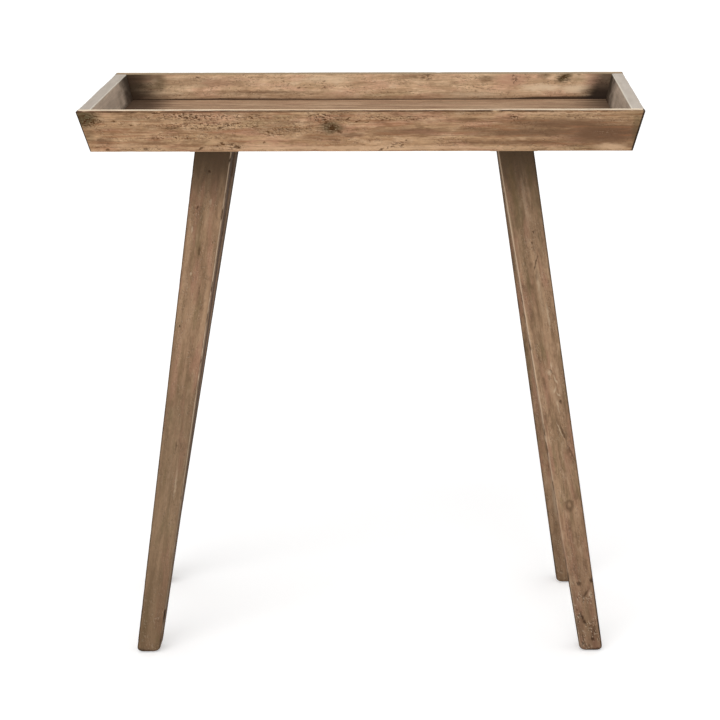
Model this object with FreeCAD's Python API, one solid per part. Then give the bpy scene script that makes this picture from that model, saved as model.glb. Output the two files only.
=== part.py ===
"""Accent table: a shallow tray of flared boards on four splayed, tapered legs.

Millimetres. The origin is on the ground under the middle of the table, +X to the right,
+Y to the back and +Z up. Every piece is one node, written to parts/NODE.step.
"""

import FreeCAD, Part
import math
import os

# Overall size, over the rim and down to the ground
table_width = 720.0
table_depth = 322.0
table_height = 766.0

# Tray walls: boards that lean outwards by the same angle on all four sides
tray_height = 54.0
tray_flare_degrees = 14.1
board_thickness = 15.7
board_ease = 1.0

# Tray floor: tongued boards, thinned at the edges to enter a groove round the walls
well_depth = 35.0
floor_thickness = 12.0
floor_edge_thickness = 6.0
floor_edge_gap = 0.3
plank_names = ("front", "middle", "back")
groove_depth = 6.0
groove_clearance = 0.3
tongue_thickness = 4.0
tongue_length = 5.0
tongue_clearance = 0.2

# Loose tongues that pin the end boards between the long boards, square to the joint
corner_tongue_thickness = 4.0
corner_tongue_margin = 7.5
corner_tongue_in_long_board = 8.0
corner_tongue_in_end_board = 14.0
corner_tongue_clearance = 0.2

# Bearers: cross pieces under the floor, with ends that slope up out of sight
bearer_wall_gap = 13.0
bearer_width = 64.0
bearer_thickness = 20.0
bearer_slope_length = 38.0
bearer_slope_height = 12.0
bearer_ease = 1.5

# Legs: square, tapered, splayed both ways, let into the bearers at the top. The two back
# legs, fitted by hand, also lean a little to the table's left.
leg_spread_x = 394.0
leg_spread_y = 84.0
leg_splay_x_degrees = 9.0
leg_splay_y_degrees = 6.0
back_leg_lean_degrees = 1.5
leg_top_section = 49.5
leg_foot_section = 32.0
leg_arris_radius = 2.0
foot_radius = 8.5
housing_depth = 4.0
housing_clearance = 0.3

# Lag bolt down through the bearer into each leg, with its washer in a counterbore
bolt_radius = 4.0
bolt_length = 55.0
bolt_point_length = 6.0
bolt_head_across_flats = 13.0
bolt_head_height = 5.3
bolt_clearance = 0.2
washer_radius = 12.0
washer_thickness = 1.6
washer_clearance = 0.5

# Screws up through the bearers into the floor boards
screw_radius = 2.0
screw_bite = 8.0
screw_point_length = 3.0
screw_head_radius = 3.8
screw_head_height = 2.6
screw_recess = 5.0
screw_clearance = 0.1
screw_head_clearance = 0.5
screw_edge_distance = 10.0
screw_leg_distance = 9.0

# One overrun for every cut that has to leave the wood
overrun = 5.0

# Lengths that agree to this share of a board's thickness count as the same
match_share = 0.001

# Heights and slopes that follow from the sizes above
flare = math.tan(math.radians(tray_flare_degrees))
flare_angle = math.radians(tray_flare_degrees)
wall = board_thickness / math.cos(flare_angle)
tray_bottom = table_height - tray_height
floor_top = table_height - well_depth
floor_bottom = floor_top - floor_thickness
bearer_bottom = floor_bottom - bearer_thickness
leg_top = bearer_bottom + housing_depth
plank_count = len(plank_names)
splay_x = math.tan(math.radians(leg_splay_x_degrees))
splay_y = math.tan(math.radians(leg_splay_y_degrees))
back_lean = math.tan(math.radians(back_leg_lean_degrees))
leg_taper = (leg_top_section - leg_foot_section) / tray_bottom
counterbore_bottom = floor_bottom - washer_thickness - bolt_head_height

UP = FreeCAD.Vector(0, 0, 1)
DOWN = FreeCAD.Vector(0, 0, -1)


def half_width(z):
    """Half of the tray's outer width at a height."""
    return table_width / 2 - (table_height - z) * flare


def half_depth(z):
    """Half of the tray's outer depth at a height."""
    return table_depth / 2 - (table_height - z) * flare


def rectangle(x_low, x_high, y_low, y_high, z):
    """Corners of a level rectangle, counter-clockwise from above."""
    corners = ((x_low, y_low), (x_high, y_low), (x_high, y_high), (x_low, y_high))
    return [FreeCAD.Vector(x, y, z) for x, y in corners]


def solid_between(lower, upper):
    """Flat-faced solid between two level outlines with as many corners each."""
    rings = [lower[::-1], upper]
    for i in range(len(lower)):
        j = (i + 1) % len(lower)
        rings.append([lower[i], lower[j], upper[j], upper[i]])
    shell = Part.makeShell([Part.Face(Part.makePolygon(ring + ring[:1])) for ring in rings])
    shell.sewShape()
    return Part.makeSolid(shell)


def tray_block(inset, z_low, z_high, inset_y=None):
    """Block that follows the tray's flare, inset from its outer faces."""
    inset_y = inset if inset_y is None else inset_y
    rings = []
    for z in (z_low, z_high):
        x = half_width(z) - inset
        y = half_depth(z) - inset_y
        rings.append(rectangle(-x, x, -y, y, z))
    return solid_between(*rings)


def edges_where(shape, test):
    """Edges whose two ends both pass a test."""
    return [e for e in shape.Edges if all(test(v.Point) for v in e.Vertexes)]


def is_near(a, b):
    """True for two lengths that agree to a small share of a board's thickness."""
    return abs(a - b) < board_thickness * match_share


def floor_edge(clearance=0.0):
    """Lower layer of the tray floor, which reaches into the walls' grooves."""
    z_high = floor_bottom + floor_edge_thickness
    return tray_block(wall - groove_depth - clearance, floor_bottom, z_high)


def floor_block():
    """The whole tray floor as one slab: its edge layer and, above, what fits between the walls."""
    upper = tray_block(wall + floor_edge_gap, floor_bottom, floor_top)
    return floor_edge().fuse(upper).removeSplitter()


def corner_tongue(side_x, side_y, clearance=0.0):
    """Loose tongue across a corner's joint, grown all round for its slot."""
    low = floor_top + corner_tongue_margin
    high = table_height - corner_tongue_margin
    z = (low + high) / 2
    height = (high - low) / math.cos(flare_angle) + 2 * clearance
    thickness = corner_tongue_thickness + 2 * clearance
    upward = FreeCAD.Vector(0, side_y * math.sin(flare_angle), math.cos(flare_angle))
    inward = FreeCAD.Vector(0, -side_y * math.cos(flare_angle), math.sin(flare_angle))
    across = FreeCAD.Vector(side_x, 0, 0)
    middle = FreeCAD.Vector(side_x * (half_width(z) - wall / 2), side_y * (half_depth(z) - wall), z)
    start = middle - inward * (corner_tongue_in_long_board + clearance)
    length = corner_tongue_in_long_board + corner_tongue_in_end_board + 2 * clearance
    halves = ((-1, -1), (1, -1), (1, 1), (-1, 1))
    ring = [start + across * (i * thickness / 2) + upward * (j * height / 2) for i, j in halves]
    return Part.Face(Part.makePolygon(ring + ring[:1])).extrude(inward * length)


def long_board(side_y):
    """Front or back wall: the full width, capping the ends of the end boards."""
    outer = tray_block(0.0, tray_bottom, table_height)
    rings = []
    for z in (tray_bottom, table_height):
        x = half_width(z) + overrun
        y_far = side_y * half_depth(z)
        y_near = side_y * (half_depth(z) - wall)
        rings.append(rectangle(-x, x, min(y_far, y_near), max(y_far, y_near), z))
    board = outer.common(solid_between(*rings))

    def on_end_arris(p):
        return is_near(abs(p.y), half_depth(p.z)) and is_near(abs(p.x), half_width(p.z))

    arrises = [e for e in board.Edges if e.Length > table_width / 2]
    arrises += [e for e in edges_where(board, on_end_arris) if e.Length < table_width / 2]
    board = board.makeFillet(board_ease, arrises)
    slots = [corner_tongue(side_x, side_y, corner_tongue_clearance) for side_x in (-1, 1)]
    return board.cut([floor_edge(groove_clearance)] + slots)


def end_board(side_x):
    """Left or right wall, fitted between the long boards."""
    between = tray_block(-overrun, tray_bottom, table_height, wall)
    rings = []
    for z in (tray_bottom, table_height):
        y = half_depth(z)
        x_far = side_x * half_width(z)
        x_near = side_x * (half_width(z) - wall)
        rings.append(rectangle(min(x_far, x_near), max(x_far, x_near), -y, y, z))
    board = between.common(solid_between(*rings))
    arrises = [e for e in board.Edges if e.Length > table_depth / 2]
    board = board.makeFillet(board_ease, arrises)
    slots = [corner_tongue(side_x, side_y, corner_tongue_clearance) for side_y in (-1, 1)]
    return board.cut([floor_edge(groove_clearance)] + slots)


def plank_seams():
    """Places in Y where the floor boards meet, with the floor's two edges outermost."""
    edge = half_depth(floor_top) - wall
    pitch = 2 * edge / plank_count
    return [-edge + i * pitch for i in range(plank_count + 1)]


def slab(y_low, y_high, z_low, z_high):
    """Slab as long as the tray, to cut boards, tongues and grooves from the floor."""
    x = half_width(z_high)
    return solid_between(
        rectangle(-x, x, y_low, y_high, z_low), rectangle(-x, x, y_low, y_high, z_high)
    )


def floor_plank(index):
    """One floor board: a tongue on its back edge and a groove along its front edge."""
    seams = plank_seams()
    is_first = index == 0
    is_last = index == plank_count - 1
    low = seams[index] - (overrun if is_first else 0)
    high = seams[index + 1] + (overrun if is_last else 0)
    floor = floor_block()
    plank = floor.common(slab(low, high, floor_bottom, floor_top))
    middle = (floor_top + floor_bottom) / 2
    tongue_low = middle - tongue_thickness / 2
    tongue_high = middle + tongue_thickness / 2
    if not is_last:
        tongue = slab(high - tongue_length, high + tongue_length, tongue_low, tongue_high)
        plank = plank.fuse(floor.common(tongue)).removeSplitter()
    if not is_first:
        groove_end = low + tongue_length + tongue_clearance
        groove_low = tongue_low - tongue_clearance
        groove_high = tongue_high + tongue_clearance
        plank = plank.cut(slab(low - overrun, groove_end, groove_low, groove_high))
    return plank.cut(screw_holes())


def leg_section(z):
    """Side of the leg's level square section at a height."""
    return leg_foot_section + leg_taper * z


def leg_run(side_x, side_y):
    """Outward run in X of one leg for each millimetre of drop."""
    lean = back_lean if side_y > 0 else 0.0
    return splay_x - side_x * lean


def leg_center(run, z):
    """Middle of a leg's level section at a height, drawn at the back right corner."""
    x = leg_spread_x / 2 + (tray_bottom - z) * run
    y = leg_spread_y / 2 + (tray_bottom - z) * splay_y
    return x, y


def leg_blank(run, z_low, z_high, grow_x=0.0, grow_y=0.0):
    """Leg as a flat-faced taper at the back right corner, grown along X or Y where asked."""
    rings = []
    for z in (z_low, z_high):
        x, y = leg_center(run, z)
        half_x = leg_section(z) / 2 + grow_x
        half_y = leg_section(z) / 2 + grow_y
        rings.append(rectangle(x - half_x, x + half_x, y - half_y, y + half_y, z))
    return solid_between(*rings)


def foot_shaper(run, grow_x, grow_y):
    """Leg grown one way, with a round on the two lower edges that run that way."""
    shaper = leg_blank(run, 0.0, leg_top, grow_x, grow_y)
    edges = edges_where(shaper, lambda p: is_near(p.z, 0.0))
    wide = leg_foot_section + overrun
    return shaper.makeFillet(foot_radius, [e for e in edges if e.Length > wide])


def mirrored(shape, side_x, side_y):
    """Copy of a back right shape for another corner of the table."""
    origin = FreeCAD.Vector(0, 0, 0)
    if side_x < 0:
        shape = shape.mirror(origin, FreeCAD.Vector(1, 0, 0))
    if side_y < 0:
        shape = shape.mirror(origin, FreeCAD.Vector(0, 1, 0))
    return shape


def leg(side_x, side_y):
    """One leg: eased arrises, a rounded foot and a pilot hole for its bolt."""
    run = leg_run(side_x, side_y)
    blank = leg_blank(run, 0.0, leg_top)
    arrises = [e for e in blank.Edges if e.Length > leg_top / 2]
    blank = blank.makeFillet(leg_arris_radius, arrises)
    blank = blank.common(foot_shaper(run, overrun, 0.0)).common(foot_shaper(run, 0.0, overrun))
    return mirrored(blank.cut(bolt_hole(run)), side_x, side_y)


def bolt_rod(run):
    """Shank and point of a leg's bolt, down through the middle of the leg's top."""
    x, y = leg_center(run, leg_top)
    shank_length = bolt_length - bolt_point_length
    seat = FreeCAD.Vector(x, y, counterbore_bottom + washer_thickness)
    shank = Part.makeCylinder(bolt_radius, shank_length, seat, DOWN)
    point = Part.makeCone(bolt_radius, 0.0, bolt_point_length, seat + DOWN * shank_length, DOWN)
    return shank.fuse(point)


def bolt_hole(run):
    """Hole for a leg's bolt, through bearer and washer into the leg."""
    x, y = leg_center(run, leg_top)
    seat = FreeCAD.Vector(x, y, counterbore_bottom + washer_thickness)
    return Part.makeCylinder(bolt_radius + bolt_clearance, bolt_length + bolt_clearance, seat, DOWN)


def hexagon(x, y, z, across_flats):
    """Level hexagon, flats across Y."""
    corner = across_flats / 2 / math.cos(math.pi / 6)
    turns = [i * math.pi / 3 for i in range(6)]
    return [FreeCAD.Vector(x + corner * math.cos(t), y + corner * math.sin(t), z) for t in turns]


def leg_bolt(side_x, side_y):
    """Lag bolt of one leg, its head under the floor boards."""
    run = leg_run(side_x, side_y)
    x, y = leg_center(run, leg_top)
    z_head = counterbore_bottom + washer_thickness
    head = solid_between(
        hexagon(x, y, z_head, bolt_head_across_flats),
        hexagon(x, y, z_head + bolt_head_height, bolt_head_across_flats),
    )
    return mirrored(head.fuse(bolt_rod(run)).removeSplitter(), side_x, side_y)


def leg_washer(side_x, side_y):
    """Washer of one leg's bolt, in the floor of its counterbore."""
    run = leg_run(side_x, side_y)
    x, y = leg_center(run, leg_top)
    foot = FreeCAD.Vector(x, y, counterbore_bottom)
    disc = Part.makeCylinder(washer_radius, washer_thickness, foot, UP)
    return mirrored(disc.cut(bolt_hole(run)), side_x, side_y)


def bearer(side_x):
    """Cross bearer: sloped ends, a housing for each leg, bolt and screw holes."""
    half = half_depth(floor_bottom) - wall - bearer_wall_gap
    flat = half - bearer_slope_length
    z_slope = bearer_bottom + bearer_slope_height
    x_low = side_x * leg_spread_x / 2 - bearer_width / 2
    outline = (
        (-half, floor_bottom),
        (-half, z_slope),
        (-flat, bearer_bottom),
        (flat, bearer_bottom),
        (half, z_slope),
        (half, floor_bottom),
    )
    points = [FreeCAD.Vector(x_low, y, z) for y, z in outline]
    face = Part.Face(Part.makePolygon(points + points[:1]))
    body = face.extrude(FreeCAD.Vector(bearer_width, 0, 0))
    lower = edges_where(body, lambda p: p.z < floor_bottom - bearer_ease)
    arrises = [e for e in lower if not is_near(e.Vertexes[0].Point.x, e.Vertexes[1].Point.x)]
    arrises += [e for e in lower if is_near(e.Vertexes[0].Point.x, e.Vertexes[1].Point.x)]
    body = body.makeFillet(bearer_ease, arrises)
    cuts = []
    for side_y in (-1, 1):
        run = leg_run(side_x, side_y)
        z_low = bearer_bottom - overrun
        housing = leg_blank(run, z_low, leg_top, housing_clearance, housing_clearance)
        for cut in (housing, bolt_hole(run), counterbore(run)):
            cuts.append(mirrored(cut, side_x, side_y))
    return body.cut(cuts + screw_holes())


def counterbore(run):
    """Space for the bolt's head and washer in the top of the bearer."""
    x, y = leg_center(run, leg_top)
    foot = FreeCAD.Vector(x, y, counterbore_bottom)
    depth = floor_bottom - counterbore_bottom + overrun
    return Part.makeCylinder(washer_radius + washer_clearance, depth, foot, UP)


def screw_places():
    """Points on the bearers' underside, one screw for each floor board, in a zigzag."""
    x_offset = bearer_width / 2 - screw_edge_distance
    leg_y = leg_center(splay_x, bearer_bottom)[1]
    y_outer = leg_y + leg_section(bearer_bottom) / 2 + screw_leg_distance
    places = []
    for side_x in (-1, 1):
        for zigzag, y in ((1, -y_outer), (-1, 0.0), (1, y_outer)):
            x = side_x * (leg_spread_x / 2 + zigzag * x_offset)
            places.append(FreeCAD.Vector(x, y, bearer_bottom))
    return places


def screw_rods():
    """Shank and point of every bearer screw."""
    shank_length = bearer_thickness - screw_recess + screw_bite - screw_point_length
    rods = []
    for place in screw_places():
        foot = place + UP * screw_recess
        shank = Part.makeCylinder(screw_radius, shank_length, foot, UP)
        tip = foot + UP * shank_length
        rods.append(shank.fuse(Part.makeCone(screw_radius, 0.0, screw_point_length, tip, UP)))
    return rods


def screw_holes():
    """Hole for every bearer screw: a recess for its head and a bore for its shank."""
    recess_radius = screw_head_radius + screw_head_clearance
    bore_radius = screw_radius + screw_clearance
    bore_length = bearer_thickness + screw_bite + screw_clearance
    holes = []
    for place in screw_places():
        mouth = place + DOWN * overrun
        holes.append(Part.makeCylinder(recess_radius, screw_recess + overrun, mouth, UP))
        holes.append(Part.makeCylinder(bore_radius, bore_length, place, UP))
    return holes


def bearer_screws():
    """Every bearer screw: a flat head at the top of its recess, a shank and a point."""
    screws = []
    for place, rod in zip(screw_places(), screw_rods()):
        foot = place + UP * (screw_recess - screw_head_height)
        head = Part.makeCylinder(screw_head_radius, screw_head_height, foot, UP)
        screws.append(head.fuse(rod).removeSplitter())
    return screws


def write(node, shapes):
    """Write one node, a single solid or a group of them, and print its volume."""
    shape = shapes[0] if len(shapes) == 1 else Part.makeCompound(shapes)
    if not shape.isValid():
        raise ValueError(node + " is not a valid shape")
    shape.exportStep("parts/" + node + ".step")
    print(node, len(shape.Solids), "solid(s),", round(shape.Volume), "mm3")


def main():
    os.makedirs("parts", exist_ok=True)
    sides_x = (("left", -1), ("right", 1))
    sides_y = (("front", -1), ("back", 1))
    for name_y, side_y in sides_y:
        write(name_y + "_board", long_board(side_y).Solids)
        for name_x, side_x in sides_x:
            corner = name_y + "_" + name_x
            write("leg_" + corner, leg(side_x, side_y).Solids)
            write("corner_tongue_" + corner, [corner_tongue(side_x, side_y)])
    for name_x, side_x in sides_x:
        write(name_x + "_board", end_board(side_x).Solids)
        write(name_x + "_bearer", bearer(side_x).Solids)
    for index, name in enumerate(plank_names):
        write("floor_plank_" + name, floor_plank(index).Solids)
    corners = [(side_x, side_y) for _, side_x in sides_x for _, side_y in sides_y]
    write("leg_bolts", [leg_bolt(*corner) for corner in corners])
    write("leg_washers", [leg_washer(*corner) for corner in corners])
    write("bearer_screws", bearer_screws())


main()
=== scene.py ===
# %% [markdown]
# # A narrow accent table in old brown wood
#
# The table is a long shallow tray on four splayed legs. Its shapes are already settled in
# the packed model, so this lesson is about what makes it look like an old piece: uneven
# arrises, worn edges, knots, worm holes, fine cracks and streaks of a dry brown stain.
#
# We load the packed model first. It stands still from here on. A piece can get a better
# finish as it is, or a new mesh of the same shape can stand for it.

# %% Load the packed table
import math
from functools import reduce

import bmesh
import bpy
from mathutils import Matrix, Vector, noise


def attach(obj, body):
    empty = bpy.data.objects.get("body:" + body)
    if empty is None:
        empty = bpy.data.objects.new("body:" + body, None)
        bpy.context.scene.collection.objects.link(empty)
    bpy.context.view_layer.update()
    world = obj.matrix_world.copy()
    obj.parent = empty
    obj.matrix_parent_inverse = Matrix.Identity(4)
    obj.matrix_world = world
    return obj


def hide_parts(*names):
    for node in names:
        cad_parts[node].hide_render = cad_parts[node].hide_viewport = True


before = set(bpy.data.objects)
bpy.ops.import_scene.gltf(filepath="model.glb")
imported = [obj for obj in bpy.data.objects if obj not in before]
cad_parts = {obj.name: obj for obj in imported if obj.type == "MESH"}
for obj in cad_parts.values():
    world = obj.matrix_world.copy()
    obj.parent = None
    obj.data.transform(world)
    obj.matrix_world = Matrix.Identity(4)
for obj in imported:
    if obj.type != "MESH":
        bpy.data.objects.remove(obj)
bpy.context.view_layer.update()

# %% [markdown]
# ## Sizes
#
# Everything below follows from a few sizes of the real table, in metres. Times mm they
# are millimetres, in which the finishes are worked out. The four walls of the tray lean
# out by one angle, so a wall's place depends on the height at which we ask for it. Small
# functions say this once, and every board and leg uses them.

# %% Sizes of the tray and the legs
mm = 1000
table_width, table_depth, table_height = 0.720, 0.322, 0.766
tray_height = 0.054
lean = math.radians(14.1)
board_thickness = 0.0157
well_depth, floor_thickness = 0.035, 0.012
floor_edge_thickness, groove_depth = 0.006, 0.0063

wall = board_thickness / math.cos(lean)
tray_bottom = table_height - tray_height
floor_top = table_height - well_depth
floor_bottom = floor_top - floor_thickness
floor_notch_top = floor_bottom + floor_edge_thickness


def half_width(z):
    return table_width / 2 - (table_height - z) * math.tan(lean)


def half_depth(z):
    return table_depth / 2 - (table_height - z) * math.tan(lean)


well_half_x, well_half_y = half_width(floor_top) - wall, half_depth(floor_top) - wall
leg_spread_x, leg_spread_y = 0.394, 0.084
splay_x, splay_y = math.tan(math.radians(9)), math.tan(math.radians(6))
back_lean = math.tan(math.radians(1.5))
leg_foot_side, leg_top_side = 0.032, 0.0495
leg_top = 0.703
foot_round = 0.0085


def leg_side(z):
    return leg_foot_side + (leg_top_side - leg_foot_side) * z / tray_bottom


def leg_middle(side_x, side_y, z):
    """Middle of a leg at a height. The back legs also lean a little to the left."""
    drop = tray_bottom - z
    x = side_x * (leg_spread_x / 2 + drop * splay_x)
    if side_y > 0:
        x -= drop * back_lean
    return Vector((x, side_y * (leg_spread_y / 2 + drop * splay_y), z))


print("wall at the rim:", round(wall * mm, 2), "mm, front foot at", tuple(leg_middle(1, -1, 0)))

# %% [markdown]
# ## Camera
#
# The picture looks slightly down on the table from the front, and from a little right of
# its middle. The camera is turned by a quarter of a degree and rolled by less than a
# tenth, as a hand-held one is. Its lens is shifted sideways, the way a view camera would
# do it, so that the long rim stays level in the picture.

# %% Camera at the viewer's place
look_down, look_right, roll = (math.radians(a) for a in (17.3642, 0.2649, -0.0743))
camera = bpy.data.objects.new("viewer", bpy.data.cameras.new("viewer"))
bpy.context.collection.objects.link(camera)
stand = Matrix.Translation((0.1012, -2.5363, 1.1795))
turn = Matrix.Rotation(-look_right, 4, "Z") @ Matrix.Rotation(math.pi / 2 - look_down, 4, "X")
camera.matrix_world = stand @ turn @ Matrix.Rotation(roll, 4, "Z")
camera.data.lens = 94.696
camera.data.sensor_width = 36
camera.data.shift_x = -0.1248
bpy.context.scene.camera = camera
bpy.context.scene.view_settings.view_transform = "Standard"
print("camera height:", stand.translation.z, "m, lens:", camera.data.lens, "mm")

# %% [markdown]
# ## One way to write shader maths
#
# A material is a sheet of nodes. Wiring each node by hand hides the idea, so a small
# class wraps an output socket and lets us write `1 - mask` or `stain * 0.5`. Plain values
# become Math nodes. Colours and vectors become Vector Math nodes, because a Math node
# would turn a colour grey. Every other node comes from one method, `node`.

# %% The socket that does arithmetic
class Field:
    """Something that varies over a surface: one output socket of a sheet's nodes."""

    def __init__(self, sheet, socket):
        self.sheet, self.socket = sheet, socket

    def _join(self, operation, first, second):
        sides = [s for s in (first, second) if isinstance(s, Field)]
        plain = all(s.socket.type == "VALUE" for s in sides)
        kind = "ShaderNodeMath" if plain else "ShaderNodeVectorMath"
        return self.sheet.node(kind, {0: first, 1: second}, operation=operation)

    def __add__(self, other):
        return self._join("ADD", self, other)

    def __sub__(self, other):
        return self._join("SUBTRACT", self, other)

    def __rsub__(self, other):
        return self._join("SUBTRACT", other, self)

    def __mul__(self, other):
        return self._join("MULTIPLY", self, other)

    def __truediv__(self, other):
        return self._join("DIVIDE", self, other)

    __radd__, __rmul__ = __add__, __mul__

    def __abs__(self):
        return self.run("ABSOLUTE")

    def run(self, operation, output=0):
        """One maths node that takes nothing else, such as SINE or LENGTH."""
        kind = "ShaderNodeMath" if self.socket.type == "VALUE" else "ShaderNodeVectorMath"
        return self.sheet.node(kind, {0: self}, output, operation=operation)

    def smooth(self, low, high):
        """0 at low, 1 at high, with soft ends; low may be the larger of the two."""
        inputs = {"Value": self, "From Min": low, "From Max": high}
        return self.sheet.node("ShaderNodeMapRange", inputs, interpolation_type="SMOOTHSTEP")

    def most(self, other):
        """The larger of two fields, so that marks which overlap don't add up."""
        return self._join("MAXIMUM", self, other)

    def flecks(self, size, shift=(0, 0, 0), detail=2, roughness=0.5, output="Fac"):
        """Noise from 0 to 1 whose blots have the given size, in millimetres each way."""
        inputs = {"Vector": self, "Location": shift, "Scale": tuple(1 / s for s in size)}
        moved = self.sheet.node("ShaderNodeMapping", inputs)
        inputs = {"Vector": moved, "Scale": 1, "Detail": detail, "Roughness": roughness}
        return self.sheet.node("ShaderNodeTexNoise", inputs, output)

    def oval(self, middle, size, turn=0, soft=0.6):
        """1 inside an oval on a flat face, 0 outside it, with a soft rim."""
        inputs = {"Vector": self, "Location": (*middle, 0), "Scale": (*size, 1)}
        inputs["Rotation"] = (0, 0, math.radians(turn))
        local = self.sheet.node("ShaderNodeMapping", inputs, vector_type="TEXTURE")
        return local.run("LENGTH", "Value").smooth(1, 1 - soft)


print("moves of a field:", [name for name in vars(Field) if name[0] != "_"])

# %% The sheet of nodes, and its colours
def linear(colour):
    """A colour as it is seen, 0 to 255 each, in the linear values that shaders use."""
    if isinstance(colour, Field):
        return colour
    shares = [v / 255 for v in colour]
    return tuple(v / 12.92 if v <= 0.04045 else ((v + 0.055) / 1.055) ** 2.4 for v in shares)


class Sheet:
    """The nodes of one material or sky, and the colour that its coats have built up."""

    def __init__(self, owner):
        owner.use_nodes = True
        self.owner, self.colour = owner, None
        self.nodes, self.links = owner.node_tree.nodes, owner.node_tree.links

    def node(self, kind, inputs=(), output=0, **settings):
        """A node of one kind: its settings come first, then its sockets' values or links."""
        made = self.nodes.new(kind)
        for name, value in settings.items():
            setattr(made, name, value)
        for key, value in dict(inputs).items():
            self.feed(made.inputs[key], value)
        return Field(self, made.outputs[output])

    def feed(self, socket, value):
        if isinstance(value, Field):
            self.links.new(value.socket, socket)
        elif socket.type == "VECTOR" and isinstance(value, (int, float)):
            socket.default_value = (value, value, value)
        elif socket.type == "RGBA" and len(value) == 3:
            socket.default_value = (*value, 1.0)
        else:
            socket.default_value = value

    def shade(self, **values):
        """Values or links for the main shader's sockets: Base_Color is its Base Color."""
        for name, value in values.items():
            self.feed(self.nodes["Principled BSDF"].inputs[name.replace("_", " ")], value)

    def mix(self, share, first, second):
        """From the first colour to the second as share goes from 0 to 1."""
        inputs = {0: share, 6: linear(first), 7: linear(second)}
        return self.node("ShaderNodeMix", inputs, 2, data_type="RGBA")

    def coat(self, share, tint):
        """A coat of one more tint over the sheet's colour, as far as share goes."""
        self.colour = self.mix(share, self.colour, tint)

    def place(self, x, y, z=0):
        return self.node("ShaderNodeCombineXYZ", {"X": x, "Y": y, "Z": z})

    def measure(self, origin, direction):
        """Millimetres from a point of the piece, in one direction."""
        direction = mm * Vector(direction).normalized()
        inputs = {0: self.node("ShaderNodeTexCoord", output="Object"), 1: tuple(direction)}
        run = self.node("ShaderNodeVectorMath", inputs, "Value", operation="DOT_PRODUCT")
        return run - direction.dot(Vector(origin))


def new_finish(name):
    return Sheet(bpy.data.materials.new(name))


print("a mid brown in linear values:", [round(v, 3) for v in linear((160, 127, 98))])

# %% [markdown]
# ## Light and floor
#
# Such a table is shown in plain light on a pale ground. A white sky gives most of the
# light. Two wide lamps, one in front of the table and one above it, make level faces a
# little brighter than upright ones and leave a shade under the tray. The sky is plain
# white where the camera or a gloss shows it, and only half as bright as a light. The floor
# looks white too and still takes a faint shadow: it adds a little light of its own, but
# only where the camera looks at it.

# %% Sky, lamps and floor
sky_light, floor_glow, floor_reach = 0.5, 0.36, 30
square_corners = ((-1, -1), (1, -1), (1, 1), (-1, 1))
sky = Sheet(bpy.data.worlds.new("pale_sky"))
bpy.context.scene.world = sky.owner
looked_at = sky.node("ShaderNodeLightPath", output="Is Camera Ray")
in_gloss = sky.node("ShaderNodeLightPath", output="Is Glossy Ray")
light = sky.node("ShaderNodeBackground", {"Color": (1, 1, 1), "Strength": sky_light})
white = sky.node("ShaderNodeBackground", {"Color": (1, 1, 1), "Strength": 1})
choice = sky.node("ShaderNodeMixShader", {0: looked_at.most(in_gloss), 1: light, 2: white})
sky.feed(sky.nodes["World Output"].inputs["Surface"], choice)


def far_lamp(name, come_from, softness, strength):
    """A lamp so far away that it lights near and far floor alike."""
    lamp = bpy.data.lights.new(name, "SUN")
    lamp.angle, lamp.energy = math.radians(softness), strength
    holder = bpy.data.objects.new(name, lamp)
    bpy.context.collection.objects.link(holder)
    holder.rotation_euler = Vector(come_from).to_track_quat("Z", "Y").to_euler()


far_lamp("wide_lamp_front", (-0.35, -1.0, 0.75), 60, 1.25)
far_lamp("wide_lamp_above", (0.1, -0.1, 1.0), 90, 0.55)

floor_sheet = new_finish("pale_floor")
looked_at = floor_sheet.node("ShaderNodeLightPath", output="Is Camera Ray")
glow = floor_sheet.mix(looked_at, (0, 0, 0), (255, 255, 255))
floor_sheet.shade(Base_Color=(0.86, 0.86, 0.86), Roughness=0.9, Specular_IOR_Level=0)
floor_sheet.shade(Emission_Color=glow, Emission_Strength=floor_glow)

floor_mesh = bpy.data.meshes.new("ground")
corners = [(floor_reach * a, floor_reach * b, 0) for a, b in square_corners]
floor_mesh.from_pydata(corners, [], [(0, 1, 2, 3)])
floor_mesh.materials.append(floor_sheet.owner)
ground = bpy.data.objects.new("ground", floor_mesh)
bpy.context.collection.objects.link(ground)

# %% [markdown]
# ## Boards with worn arrises
#
# A fresh machined board has arrises that are all alike. On an old one each arris has been
# rubbed and knocked, so its rounding changes along the length and has small chips. We
# could bevel a box and displace it, but then the wear would be the same on every edge.
# Instead each board is swept: a ring of points round its section is laid at many places
# along it, and every corner of each ring gets its own ease.

# %% Ease of one corner of a section
curve_steps = 4
guard = 0.0006
sharp_from = math.radians(40)


def eased_corner(before, corner, after, ease):
    """Points from one side of a corner to the other, on a curve that stays inside it."""
    back, ahead = (before - corner).normalized(), (after - corner).normalized()
    reach = ease / math.tan(back.angle(ahead) / 2)
    points = [corner + back * (reach + guard)]
    for step in range(curve_steps + 1):
        share = step / curve_steps
        points.append(corner + back * reach * (1 - share) ** 2 + ahead * reach * share**2)
    points.append(corner + ahead * (reach + guard))
    return points


def worn_ease(seed, place, ease, unevenness=0.8, chip=0.0022):
    """How much one arris is rounded at one place along it: never less than ease."""
    lengths = ((0.04, 0.5), (0.007, 9.5), (0.05, 21.5))
    slow, quick, knock = (noise.noise(Vector((place / size, seed * 7.3, z))) for size, z in lengths)
    chips = chip * max(0.0, quick + 0.5 * knock - 0.25) / 0.75
    return ease * (1 + unevenness * max(0.0, slow + 0.2)) + chips


print("ease of one arris, mm:", [round(mm * worn_ease(1, x / 50, 0.001), 2) for x in range(6)])

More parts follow.
